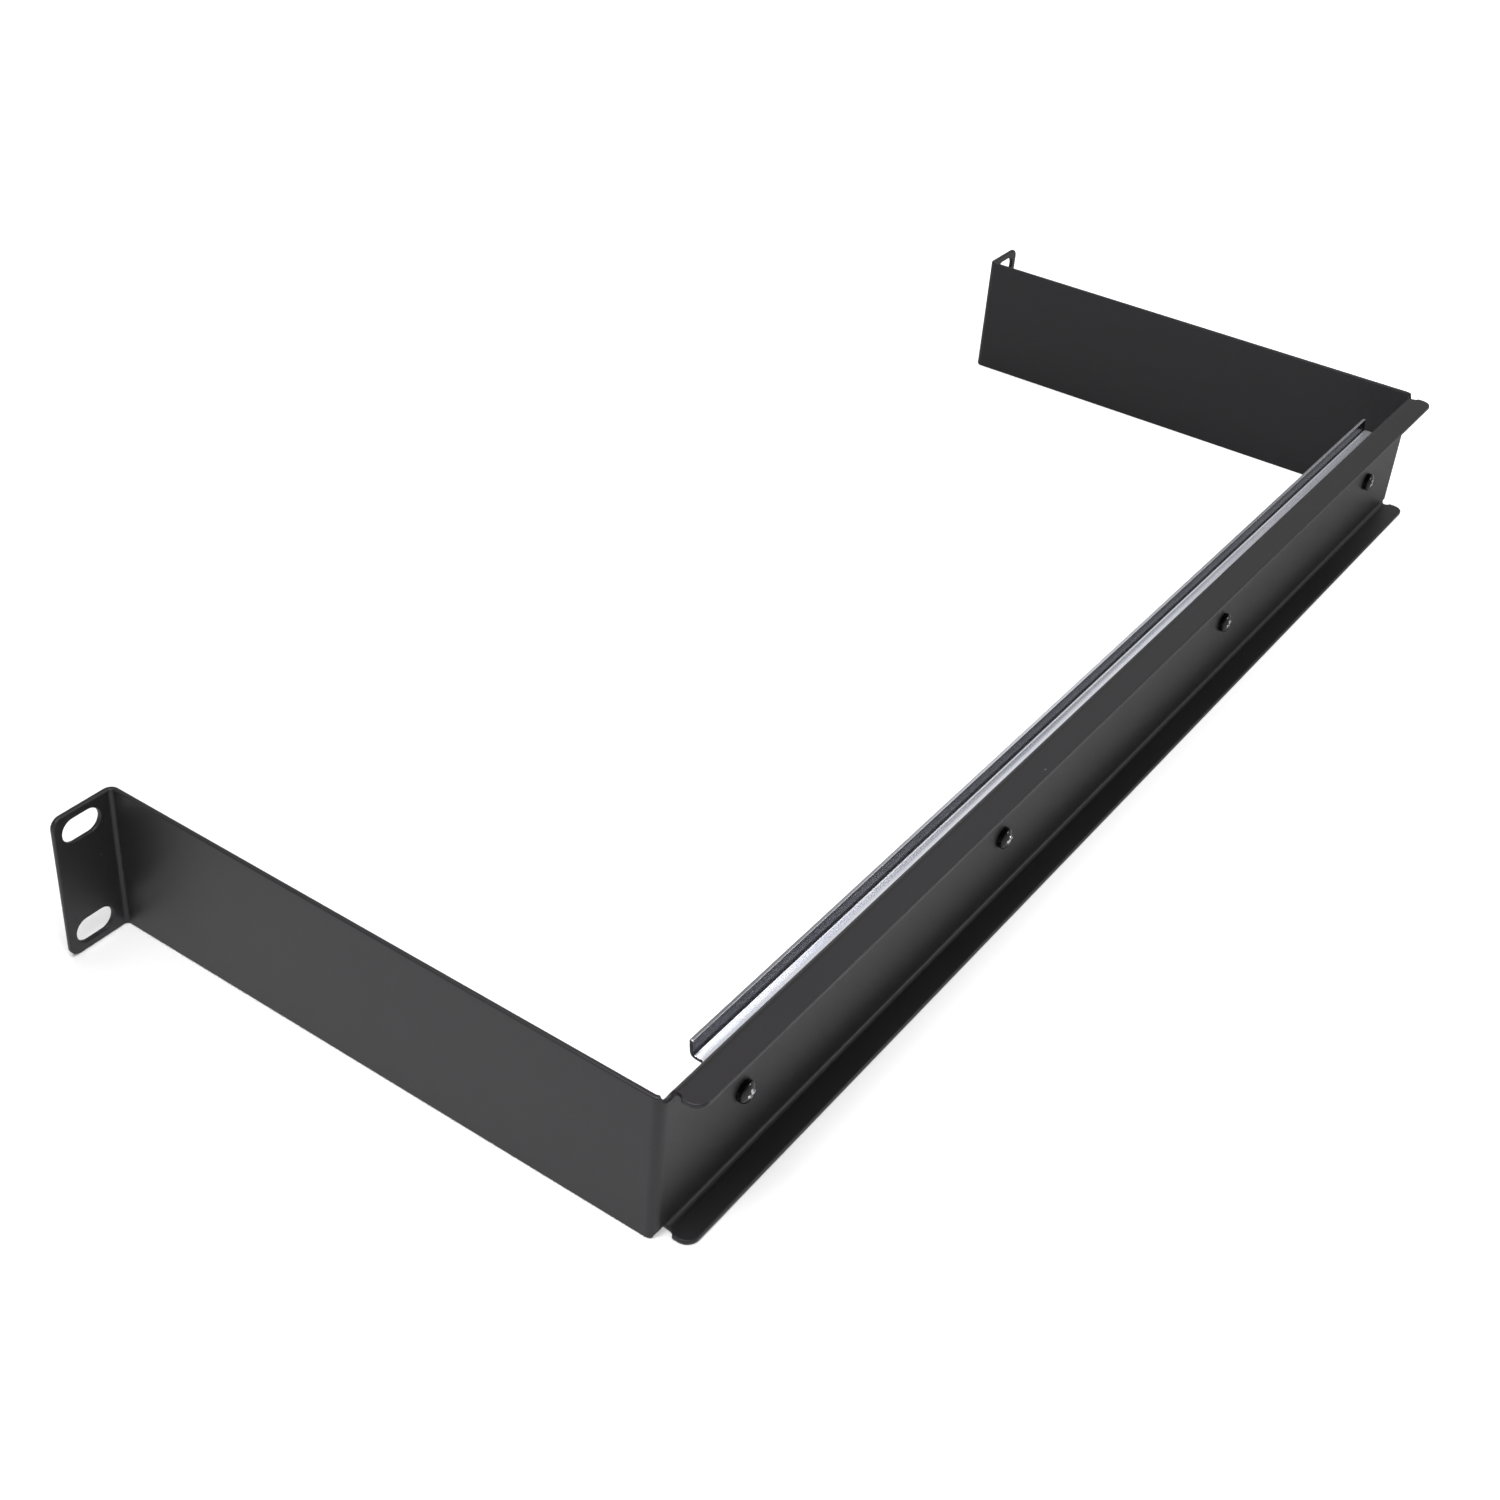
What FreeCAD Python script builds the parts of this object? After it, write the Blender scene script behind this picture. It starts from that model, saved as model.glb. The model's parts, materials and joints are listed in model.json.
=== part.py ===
import FreeCAD, Part
import math
import os
import re

import Sketcher
from FreeCAD import Placement, Rotation, Vector

# A rack mount for a DIN rail: one folded steel bracket with two rack ears, and a top-hat rail on its web.
# X runs across the rack, Y from the ears back into the rack, Z up.
# The origin is the centre of the four rack slots, on the ears' rear face, which seats on the rack's posts.
# The bracket mirrors about X = 0 and about Z = 0.

# Driving sizes in millimetres: name, value, what it measures
SIZES = (
    ("rack_width", 482.0, "across both rack ears"),
    ("panel_height", 43.6, "height of the bracket, one rack unit less its clearance"),
    ("sheet_gauge", 1.4, "thickness of the bracket's sheet with its coat"),
    ("bend_radius", 1.2, "inside radius of the bracket's bends"),
    ("body_depth", 171.7, "ears' front face to web's rear face"),
    ("ear_reach", 18.3, "arm's outer face to ear's outer edge"),
    ("ear_corner_radius", 3.0, "outer corners of the ears"),
    ("slot_inset", 8.45, "ear's outer edge to slot's centre"),
    ("slot_drop", 5.925, "ear's top or bottom edge to slot's centre"),
    ("slot_long", 11.7, "rack slot, end to end"),
    ("slot_high", 7.0, "rack slot, across"),
    ("flange_reach", 7.75, "web's rear face to flange's free edge"),
    ("flange_end_gap", 0.7, "arm's bend line to flange's end"),
    ("flange_corner_radius", 3.5, "free corners of the flanges"),
    ("flange_end_flat", 0.5, "least straight left on a flange's end beside its corner"),
    ("relief_diameter", 3.5, "round relief in the flat sheet, where the two bends meet"),
    ("cut_margin", 1.0, "how far a cutting shape runs past the sheet"),
    ("rail_width", 35.0, "rail, across both lips"),
    ("rail_depth", 7.5, "rail, lips' front to base's rear"),
    ("rail_gauge", 1.0, "thickness of the rail's strip"),
    ("rail_channel", 27.0, "rail, across the channel's outer walls"),
    ("rail_bend_radius", 0.8, "inside radius of the rail's bends"),
    ("rail_end_gap", 21.3, "rail's end to arm's inner face"),
    ("rail_slot_long", 15.0, "rail slot, end to end"),
    ("rail_slot_high", 6.2, "rail slot, across"),
    ("rail_slot_land", 5.0, "metal between one rail slot and the next"),
    ("rail_end_land", 2.0, "least metal between the last rail slot and the rail's end"),
    ("inner_screw_reach", 70.0, "rail's middle to an inner screw, which takes the rail slot nearest to that"),
    ("screw_diameter", 3.0, "screw's shank"),
    ("screw_length", 8.0, "screw, below its head"),
    ("screw_end_chamfer", 0.4, "bevel at the screw's end"),
    ("screw_hole_clearance", 0.4, "web's screw hole, wider than the shank"),
    ("head_diameter", 6.0, "screw's head"),
    ("head_height", 2.4, "screw's head, seat to crown"),
    ("head_side", 1.1, "straight side of the head below its dome"),
    ("recess_span", 3.2, "cross recess, tip to tip"),
    ("recess_width", 0.7, "one arm of the cross recess, across"),
    ("recess_depth", 1.3, "cross recess, below the crown"),
    ("washer_diameter", 9.0, "washer, outside"),
    ("washer_thickness", 0.8, "washer"),
    ("washer_clearance", 0.2, "washer's hole, wider than the shank"),
    ("nut_flats", 5.5, "nut, across flats"),
    ("nut_height", 2.4, "nut"),
    ("nut_corner_drop", 0.25, "height of the bevel on the nut's corners"),
    ("thread_clearance", 0.1, "nut's bore, wider than the shank"),
)

doc = FreeCAD.newDocument("din_rail_rack_mount")
sheet = doc.addObject("Spreadsheet::Sheet", "Sizes")
for row, (size_name, size_value, size_note) in enumerate(SIZES, start=1):
    sheet.set(f"A{row}", size_note)
    sheet.set(f"B{row}", str(size_value))
    sheet.setAlias(f"B{row}", size_name)
doc.recompute()
SIZE_NAMES = {entry[0] for entry in SIZES}

# Places that several pieces share, as formulas of the sheet
HALF_BODY = "(rack_width / 2 - ear_reach)"
HALF_PANEL = "(panel_height / 2)"
WEB_REAR = "(body_depth - sheet_gauge)"
WEB_FRONT = "(body_depth - 2 * sheet_gauge)"
OUTER_BEND = "(bend_radius + sheet_gauge)"
ARM_BEND_LINE = f"({HALF_BODY} - {OUTER_BEND})"
FLANGE_END = f"({ARM_BEND_LINE} - flange_end_gap)"
FLANGE_EDGE = f"({WEB_REAR} + flange_reach)"
RELIEF_CENTRE = f"({FLANGE_END} + flange_end_gap / 2)"
MIDDLE_BEND = "(bend_radius + sheet_gauge / 2)"
RAIL_LENGTH = f"(2 * ({HALF_BODY} - sheet_gauge - rail_end_gap))"
RAIL_FRONT = f"({WEB_FRONT} - rail_gauge)"
SLOT_PITCH = "(rail_slot_long + rail_slot_land)"
SLOTS_EACH_SIDE = f"floor(({RAIL_LENGTH} / 2 + rail_slot_land / 2 - rail_end_land) / {SLOT_PITCH})"
INNER_SCREW = f"((round(inner_screw_reach / {SLOT_PITCH} + 0.5) - 0.5) * {SLOT_PITCH})"
OUTER_SCREW = f"(({SLOTS_EACH_SIDE} - 0.5) * {SLOT_PITCH})"

# Ends of a line or an arc, and a sketch's own origin and axes, as constraints number them
START, END, CENTRE = range(1, 4)
ACROSS_AXIS, UP_AXIS = range(-1, -3, -1)
ORIGIN = (ACROSS_AXIS, START)

# The share of a solid's volume below which a feature counts as having done nothing
NO_CHANGE = 1e-9

HEXAGON_SIDES = 6

# Shares of the relief's reach round the arm's bend at which its edge is laid off
RELIEF_SHARES = (0, 0.4, 0.7, 0.9, 1)


def bound(formula):
    """The formula with every size's name pointing at its cell."""
    return re.sub(r"[a-z_]+", lambda word: f"Sizes.{word[0]}" if word[0] in SIZE_NAMES else word[0], formula)


def value_of(formula):
    """What the formula comes to with the sheet as it stands."""
    return float(sheet.evalExpression(bound(formula)))


def origin_item(body, role):
    return next(item for item in body.Origin.OriginFeatures if item.Role == role)


def new_body(label):
    body = doc.addObject("PartDesign::Body", label)
    body.Label = label
    return body


def sketch_on(body, name, role, turn=0, tilt=None, **offsets):
    """A sketch on one of the body's origin planes, moved along the plane's axes by formulas.

    It is turned in its plane by degrees, or swung about its second axis, towards its normal, by a formula.
    """
    sketch = body.newObject("Sketcher::SketchObject", name)
    sketch.AttachmentSupport = [(origin_item(body, role), "")]
    sketch.MapMode = "FlatFace"
    if tilt:
        sketch.AttachmentOffset = Placement(Vector(), Rotation(Vector(0, -1, 0), value_of(tilt)))
        sketch.setExpression("AttachmentOffset.Rotation.Angle", bound(f"{tilt} * 1deg"))
    else:
        sketch.AttachmentOffset = Placement(Vector(), Rotation(Vector(0, 0, 1), turn))
    for axis, formula in offsets.items():
        sketch.setExpression(f"AttachmentOffset.Base.{axis}", bound(formula))
    return sketch


def line(start, end):
    return Part.LineSegment(Vector(*start), Vector(*end))


def arc(centre, radius, first_degrees, last_degrees):
    """An arc drawn counter-clockwise."""
    circle = Part.Circle(Vector(*centre), Vector(0, 0, 1), radius)
    return Part.ArcOfCircle(circle, math.radians(first_degrees), math.radians(last_degrees))


def fix(sketch, kind, *where):
    return sketch.addConstraint(Sketcher.Constraint(kind, *where))


def dimension(sketch, name, formula, kind, *where):
    """A named dimension that follows a formula of the sheet."""
    index = sketch.addConstraint(Sketcher.Constraint(kind, *where, value_of(formula)))
    sketch.renameConstraint(index, name)
    sketch.setExpression(f"Constraints.{name}", bound(formula))


def tested(feature, adds):
    """Recompute, and make sure that the feature added metal, or took some away, as it should."""
    doc.recompute()
    before = feature.BaseFeature.Shape.Volume if feature.BaseFeature else 0.0
    after = feature.Shape.Volume
    if math.isclose(before, after, rel_tol=NO_CHANGE) or (after > before) != adds:
        raise RuntimeError(f"{feature.Name} did not change the solid as it should")
    return feature


def pad(body, name, sketch, length, symmetric=False, reverse=False):
    feature = body.newObject("PartDesign::Pad", name)
    feature.Profile = sketch
    feature.SideType = "Symmetric" if symmetric else "One side"
    feature.Reversed = reverse
    feature.setExpression("Length", bound(length))
    return tested(feature, adds=True)


def pocket(body, name, sketch, length=None, reverse=False):
    """A cut of the given length, or through all where none is given."""
    feature = body.newObject("PartDesign::Pocket", name)
    feature.Profile = sketch
    feature.Reversed = reverse
    if length:
        feature.setExpression("Length", bound(length))
    else:
        feature.Type = "ThroughAll"
    return tested(feature, adds=False)


def four_sides(sketch, left, right, low, high):
    """Four lines in a ring, kept level and upright, in the order bottom, right, top and left."""
    corners = ((left, low), (right, low), (right, high), (left, high))
    sides = sketch.addGeometry([line(*ends) for ends in zip(corners, corners[1:] + corners[:1])])
    for side, following in zip(sides, sides[1:] + sides[:1]):
        fix(sketch, "Coincident", side, END, following, START)
    for level in sides[0::2]:
        fix(sketch, "Horizontal", level)
    for upright in sides[1::2]:
        fix(sketch, "Vertical", upright)
    return sides


def rectangle(sketch, left, right, low, high):
    """A rectangle whose sides lie at the given distances from the sketch's origin."""
    bottom, _, top, _ = four_sides(sketch, *(value_of(place) for place in (left, right, low, high)))
    dimension(sketch, "left", left, "DistanceX", *ORIGIN, bottom, START)
    dimension(sketch, "right", right, "DistanceX", *ORIGIN, bottom, END)
    dimension(sketch, "low", low, "DistanceY", *ORIGIN, bottom, START)
    dimension(sketch, "high", high, "DistanceY", *ORIGIN, top, START)


def bar_outline(sketch, long, wide):
    """A rectangle centred on the sketch's origin."""
    half, rise = value_of(long) / 2, value_of(wide) / 2
    bottom, far, top, _ = four_sides(sketch, -half, half, -rise, rise)
    fix(sketch, "Symmetric", bottom, START, top, START, *ORIGIN)
    dimension(sketch, "long", long, "DistanceX", bottom, START, bottom, END)
    dimension(sketch, "wide", wide, "DistanceY", far, START, far, END)


def clipped_circle(sketch, across, up, diameter, clip):
    """A circle cut off by an upright line, of which the left part is kept."""
    x, y, radius, edge = (value_of(part) for part in (across, up, f"{diameter} / 2", clip))
    opening = math.degrees(math.acos((edge - x) / radius))
    rise = math.sqrt(radius ** 2 - (edge - x) ** 2)
    bow, chord = sketch.addGeometry([
        arc((x, y), radius, opening, 360 - opening),
        line((edge, y - rise), (edge, y + rise)),
    ])
    fix(sketch, "Coincident", bow, END, chord, START)
    fix(sketch, "Coincident", chord, END, bow, START)
    fix(sketch, "Vertical", chord)
    dimension(sketch, "across", across, "DistanceX", *ORIGIN, bow, CENTRE)
    dimension(sketch, "up", up, "DistanceY", *ORIGIN, bow, CENTRE)
    dimension(sketch, "bore", diameter, "Diameter", bow)
    dimension(sketch, "clip", clip, "DistanceX", *ORIGIN, chord, START)


def slot_outline(sketch, across, up, long, high):
    """A slot with round ends, lying along the sketch's first axis."""
    x, y = value_of(across), value_of(up)
    radius = value_of(high) / 2
    half = value_of(long) / 2 - radius
    lower, right, upper, left = sketch.addGeometry([
        line((x - half, y - radius), (x + half, y - radius)),
        arc((x + half, y), radius, -90, 90),
        line((x + half, y + radius), (x - half, y + radius)),
        arc((x - half, y), radius, 90, 270),
    ])
    fix(sketch, "Tangent", lower, END, right, START)
    fix(sketch, "Tangent", right, END, upper, START)
    fix(sketch, "Tangent", upper, END, left, START)
    fix(sketch, "Tangent", left, END, lower, START)
    for level in (lower, upper):
        fix(sketch, "Horizontal", level)
    dimension(sketch, "right_end", f"{across} + ({long} - {high}) / 2", "DistanceX", *ORIGIN, right, CENTRE)
    dimension(sketch, "straight", f"{long} - {high}", "DistanceX", left, CENTRE, right, CENTRE)
    dimension(sketch, "round_end", f"{high} / 2", "Radius", right)
    if y:
        dimension(sketch, "level", up, "DistanceY", *ORIGIN, right, CENTRE)
    else:
        fix(sketch, "PointOnObject", right, CENTRE, ACROSS_AXIS)


def circle_outline(sketch, name, diameter):
    """A circle round the sketch's origin."""
    ring = sketch.addGeometry(Part.Circle(Vector(), Vector(0, 0, 1), value_of(diameter) / 2))
    fix(sketch, "Coincident", ring, CENTRE, *ORIGIN)
    dimension(sketch, name, diameter, "Diameter", ring)


def folded_hat(sketch, half_width, tip, depth, gauge, radius):
    """Half the section of a strip folded into a hat: half the base, one wall and one lip turned outwards.

    The lip's back lies on the sketch's first axis, the base crosses the second axis at the far end, and each
    bend's two arcs share a centre, so the strip keeps its gauge all the way.
    """
    wall, lip_end, rear = value_of(half_width), value_of(tip), value_of(f"{depth} - {gauge}")
    thick, inside = value_of(gauge), value_of(radius)
    outside = inside + thick
    back_centre = (wall - outside, rear - outside)
    front_centre = (wall + inside, inside)
    pieces = sketch.addGeometry([
        line((0, rear), (wall - outside, rear)),
        arc(back_centre, outside, 0, 90),
        line((wall, rear - outside), (wall, inside)),
        arc(front_centre, inside, 180, 270),
        line((wall + inside, 0), (lip_end, 0)),
        line((lip_end, 0), (lip_end, -thick)),
        line((lip_end, -thick), (wall + inside, -thick)),
        arc(front_centre, outside, 180, 270),
        line((wall - thick, inside), (wall - thick, rear - outside)),
        arc(back_centre, inside, 0, 90),
        line((wall - outside, rear - thick), (0, rear - thick)),
        line((0, rear - thick), (0, rear)),
    ])
    (base_rear, back_outer, wall_outer, front_inner, lip_back, lip_side, lip_front, front_outer, wall_inner,
     back_inner, base_front, middle) = pieces
    fix(sketch, "Tangent", base_rear, END, back_outer, END)
    fix(sketch, "Tangent", back_outer, START, wall_outer, START)
    fix(sketch, "Tangent", wall_outer, END, front_inner, START)
    fix(sketch, "Tangent", front_inner, END, lip_back, START)
    fix(sketch, "Coincident", lip_back, END, lip_side, START)
    fix(sketch, "Coincident", lip_side, END, lip_front, START)
    fix(sketch, "Tangent", lip_front, END, front_outer, END)
    fix(sketch, "Tangent", front_outer, START, wall_inner, START)
    fix(sketch, "Tangent", wall_inner, END, back_inner, START)
    fix(sketch, "Tangent", back_inner, END, base_front, START)
    fix(sketch, "Coincident", base_front, END, middle, START)
    fix(sketch, "Coincident", middle, END, base_rear, START)
    fix(sketch, "Coincident", back_outer, CENTRE, back_inner, CENTRE)
    fix(sketch, "Coincident", front_outer, CENTRE, front_inner, CENTRE)
    for level in (base_rear, base_front, lip_back, lip_front):
        fix(sketch, "Horizontal", level)
    for upright in (wall_outer, wall_inner, lip_side, middle):
        fix(sketch, "Vertical", upright)
    fix(sketch, "PointOnObject", base_rear, START, UP_AXIS)
    fix(sketch, "PointOnObject", lip_back, END, ACROSS_AXIS)
    dimension(sketch, "half_width", half_width, "DistanceX", *ORIGIN, wall_outer, START)
    dimension(sketch, "tip", tip, "DistanceX", *ORIGIN, lip_side, START)
    dimension(sketch, "rear", f"{depth} - {gauge}", "DistanceY", *ORIGIN, base_rear, START)
    dimension(sketch, "gauge", gauge, "DistanceY", middle, START, middle, END)
    dimension(sketch, "back_bend", radius, "Radius", back_inner)
    dimension(sketch, "front_bend", radius, "Radius", front_inner)


def flange_section(sketch):
    """The upper flange and the bend that joins it to the web, in the Y and Z directions."""
    rear, edge, top = value_of(WEB_REAR), value_of(FLANGE_EDGE), value_of(HALF_PANEL)
    thick, inside = value_of("sheet_gauge"), value_of("bend_radius")
    outside = inside + thick
    centre = (rear + inside, top - outside)
    upper, end, under, inner, foot, outer = sketch.addGeometry([
        line((rear + inside, top), (edge, top)),
        line((edge, top), (edge, top - thick)),
        line((edge, top - thick), (rear + inside, top - thick)),
        arc(centre, inside, 90, 180),
        line((rear, top - outside), (rear - thick, top - outside)),
        arc(centre, outside, 90, 180),
    ])
    fix(sketch, "Coincident", upper, END, end, START)
    fix(sketch, "Coincident", end, END, under, START)
    fix(sketch, "Tangent", under, END, inner, START)
    fix(sketch, "Coincident", inner, END, foot, START)
    fix(sketch, "Coincident", foot, END, outer, END)
    fix(sketch, "Tangent", outer, START, upper, START)
    fix(sketch, "Coincident", inner, CENTRE, outer, CENTRE)
    fix(sketch, "PointOnObject", inner, CENTRE, foot)
    for level in (upper, under, foot):
        fix(sketch, "Horizontal", level)
    fix(sketch, "Vertical", end)
    dimension(sketch, "rear", WEB_REAR, "DistanceX", *ORIGIN, foot, START)
    dimension(sketch, "edge", FLANGE_EDGE, "DistanceX", *ORIGIN, end, START)
    dimension(sketch, "top", HALF_PANEL, "DistanceY", *ORIGIN, end, START)
    dimension(sketch, "gauge", "sheet_gauge", "DistanceY", end, END, end, START)
    dimension(sketch, "bend", "bend_radius", "Radius", inner)


def round_corner(body, name, base, radius, middle):
    """Round the one edge whose middle lies at the given formulas."""
    place = Vector(*(value_of(part) for part in middle))
    edges = base.Shape.Edges
    nearest = min(range(len(edges)), key=lambda i: edges[i].CenterOfMass.distanceToPoint(place))
    feature = body.newObject("PartDesign::Fillet", name)
    feature.Base = (base, [f"Edge{nearest + 1}"])
    feature.setExpression("Radius", bound(radius))
    return tested(feature, adds=False)


def revolve(body, name, kind, sketch):
    """A full turn of the sketch about its own upright axis, added or cut away."""
    feature = body.newObject(f"PartDesign::{kind}", name)
    feature.Profile = sketch
    feature.ReferenceAxis = (sketch, ["V_Axis"])
    return tested(feature, adds=kind == "Revolution")


def repeat_along(body, name, role, length, count, originals=None, reverse=False):
    """Copies along an axis of the body, evenly over the length: of some features, or of the whole solid."""
    feature = body.newObject("PartDesign::LinearPattern", name)
    if originals:
        feature.Originals = originals
    else:
        feature.TransformMode = "Whole shape"
    feature.Direction = (origin_item(body, role), [""])
    feature.Reversed = reverse
    feature.setExpression("Length", bound(length))
    feature.setExpression("Occurrences", bound(count))
    body.Tip = feature
    return tested(feature, adds=originals is None)


def mirror_whole(body, name, role):
    """The body so far and its mirror image, as one solid."""
    feature = body.newObject("PartDesign::Mirrored", name)
    feature.TransformMode = "Whole shape"
    feature.MirrorPlane = (origin_item(body, role), [""])
    body.Tip = feature
    return tested(feature, adds=True)


def relieve_corner(body):
    """The round relief where the flange's bend meets the arm's, pierced in the flat sheet and folded with it.

    Its middle lies between the flange's end and the arm's bend line, level with the bracket's edge. The part
    in the web is cut straight through, and so is the part in the flange. Round the arm's bend the circle is
    laid off along the middle of the sheet, so that its edge stays square to the sheet all the way.
    """
    radius = "relief_diameter / 2"
    behind = f"({WEB_REAR} + bend_radius)"
    in_web = sketch_on(body, "relief_in_web_outline", "XZ_Plane", z=f"-{behind}")
    clipped_circle(in_web, RELIEF_CENTRE, HALF_PANEL, "relief_diameter", ARM_BEND_LINE)
    pocket(body, "relief_in_web", in_web, "bend_radius + sheet_gauge", reverse=True)

    drawn_in = f"({MIDDLE_BEND} * pi / 2 - {OUTER_BEND})"
    in_flange = sketch_on(body, "relief_in_flange_outline", "XY_Plane", z=HALF_PANEL)
    clipped_circle(in_flange, RELIEF_CENTRE, f"({behind} - {drawn_in})", "relief_diameter", FLANGE_END)
    pocket(body, "relief_in_flange", in_flange, radius)

    reach = f"({radius} - flange_end_gap / 2)"
    sections = []
    for number, share in enumerate(RELIEF_SHARES):
        angle = f"({share} * {reach} / {MIDDLE_BEND} * 180 / pi)" if share else None
        section = sketch_on(
            body, f"relief_section_{number}", "YZ_Plane", tilt=angle, x=f"{WEB_REAR} - {OUTER_BEND}",
            z=ARM_BEND_LINE,
        )
        drop = f"sqrt(abs(({radius}) ^ 2 - ({share} * {reach} + flange_end_gap / 2) ^ 2))"
        rectangle(
            section, "bend_radius / 2", f"{OUTER_BEND} + cut_margin", f"{HALF_PANEL} - {drop}",
            f"{HALF_PANEL} + cut_margin",
        )
        sections.append(section)
    cut = body.newObject("PartDesign::SubtractiveLoft", "relief_round_bend")
    cut.Profile = sections[0]
    cut.Sections = sections[1:]
    cut.Ruled = True
    return tested(cut, adds=False)


def build_bracket():
    """The folded sheet. One quarter is drawn, right of the middle and above it, and two mirrors finish it."""
    body = new_body("bracket")

    plan = sketch_on(body, "plan_of_arm_and_ear", "XY_Plane")
    folded_hat(plan, HALF_BODY, "rack_width / 2", "body_depth", "sheet_gauge", "bend_radius")
    pad(body, "folded_arm", plan, HALF_PANEL)

    edge = sketch_on(body, "web_edge_outline", "XZ_Plane")
    rectangle(edge, "0", FLANGE_END, f"{HALF_PANEL} - {OUTER_BEND}", "panel_height")
    pocket(body, "web_edge", edge)

    section = sketch_on(body, "flange_outline", "YZ_Plane")
    flange_section(section)
    pad(body, "flange", section, FLANGE_END)

    relieved = relieve_corner(body)

    corner = round_corner(
        body, "flange_corner", relieved,
        "min(flange_corner_radius; flange_reach - bend_radius - relief_diameter / 2 - flange_end_flat)",
        (FLANGE_END, FLANGE_EDGE, f"{HALF_PANEL} - sheet_gauge / 2"),
    )
    round_corner(
        body, "ear_corner", corner, "ear_corner_radius", ("rack_width / 2", "-sheet_gauge / 2", HALF_PANEL)
    )

    slot = sketch_on(body, "rack_slot_outline", "XZ_Plane")
    slot_outline(
        slot, "(rack_width / 2 - slot_inset)", f"({HALF_PANEL} - slot_drop)", "slot_long", "slot_high"
    )
    pocket(body, "rack_slot", slot, "2 * sheet_gauge", reverse=True)

    for name, place in (("inner_hole", INNER_SCREW), ("outer_hole", OUTER_SCREW)):
        hole = sketch_on(body, f"{name}_outline", "XZ_Plane", x=place)
        circle_outline(hole, "bore", "(screw_diameter + screw_hole_clearance)")
        pocket(body, name, hole)

    mirror_whole(body, "both_heights", "XY_Plane")
    mirror_whole(body, "both_sides", "YZ_Plane")
    return body


def build_rail():
    """The top-hat rail. It is drawn upright, seen on its end, and laid along X with its base on the web."""
    body = new_body("din_rail")
    section = sketch_on(body, "half_section", "XY_Plane")
    folded_hat(section, "rail_channel / 2", "rail_width / 2", "rail_depth", "rail_gauge", "rail_bend_radius")
    pad(body, "half_rail", section, RAIL_LENGTH, symmetric=True)
    mirror_whole(body, "both_lips", "YZ_Plane")

    slot = sketch_on(body, "end_slot_outline", "XZ_Plane", turn=90)
    slot_outline(slot, OUTER_SCREW, "0", "rail_slot_long", "rail_slot_high")
    end_slot = pocket(body, "end_slot", slot)
    repeat_along(
        body, "slots", "Z_Axis", f"2 * {OUTER_SCREW}", f"2 * {SLOTS_EACH_SIDE}", [end_slot], reverse=True
    )
    body.Placement = Placement(Vector(), Rotation(Vector(0, 1, 0), -90))
    body.setExpression("Placement.Base.y", bound(f"{WEB_FRONT} - (rail_depth - rail_gauge)"))
    return body


def screw_section(sketch):
    """Half the screw's section: its shank below the sketch's first axis and its domed head above."""
    shank, head = value_of("screw_diameter / 2"), value_of("head_diameter / 2")
    length, bevel = value_of("screw_length"), value_of("screw_end_chamfer")
    side, crown = value_of("head_side"), value_of("head_height")
    rise = crown - side
    dome_radius = (head ** 2 + rise ** 2) / (2 * rise)
    dome_start = math.degrees(math.asin((dome_radius - rise) / dome_radius))
    axis, tip, taper, flank, seat, rim, dome = sketch.addGeometry([
        line((0, crown), (0, -length)),
        line((0, -length), (shank - bevel, -length)),
        line((shank - bevel, -length), (shank, bevel - length)),
        line((shank, bevel - length), (shank, 0)),
        line((shank, 0), (head, 0)),
        line((head, 0), (head, side)),
        arc((0, crown - dome_radius), dome_radius, dome_start, 90),
    ])
    chain = (axis, tip, taper, flank, seat, rim, dome)
    for piece, following in zip(chain, chain[1:] + chain[:1]):
        fix(sketch, "Coincident", piece, END, following, START)
    for level in (tip, seat):
        fix(sketch, "Horizontal", level)
    for upright in (flank, rim):
        fix(sketch, "Vertical", upright)
    fix(sketch, "PointOnObject", axis, START, UP_AXIS)
    fix(sketch, "PointOnObject", axis, END, UP_AXIS)
    fix(sketch, "PointOnObject", dome, CENTRE, UP_AXIS)
    fix(sketch, "PointOnObject", seat, START, ACROSS_AXIS)
    dimension(sketch, "length", "screw_length", "DistanceY", axis, END, *ORIGIN)
    dimension(sketch, "crown", "head_height", "DistanceY", *ORIGIN, axis, START)
    dimension(sketch, "shank", "screw_diameter / 2", "DistanceX", *ORIGIN, flank, END)
    dimension(sketch, "head", "head_diameter / 2", "DistanceX", *ORIGIN, rim, START)
    dimension(sketch, "side", "head_side", "DistanceY", rim, START, rim, END)
    dimension(sketch, "taper_across", "screw_end_chamfer", "DistanceX", taper, START, taper, END)
    dimension(sketch, "taper_up", "screw_end_chamfer", "DistanceY", taper, START, taper, END)


def hexagon_outline(sketch, flats):
    """A hexagon round the sketch's origin, with two corners on the first axis."""
    corner_circle = f"2 * {flats} / sqrt(3)"
    radius = value_of(corner_circle) / 2
    turns = [math.tau * i / HEXAGON_SIDES for i in range(HEXAGON_SIDES + 1)]
    corners = [(radius * math.cos(turn), radius * math.sin(turn)) for turn in turns]
    ring = sketch.addGeometry(Part.Circle(Vector(), Vector(0, 0, 1), radius), True)
    sides = sketch.addGeometry([line(*ends) for ends in zip(corners, corners[1:])])
    for side, following in zip(sides, sides[1:] + sides[:1]):
        fix(sketch, "Coincident", side, END, following, START)
        fix(sketch, "PointOnObject", side, START, ring)
    for side in sides[1:]:
        fix(sketch, "Equal", sides[0], side)
    fix(sketch, "Coincident", ring, CENTRE, *ORIGIN)
    fix(sketch, "PointOnObject", sides[0], START, ACROSS_AXIS)
    dimension(sketch, "corners", corner_circle, "Diameter", ring)


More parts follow.
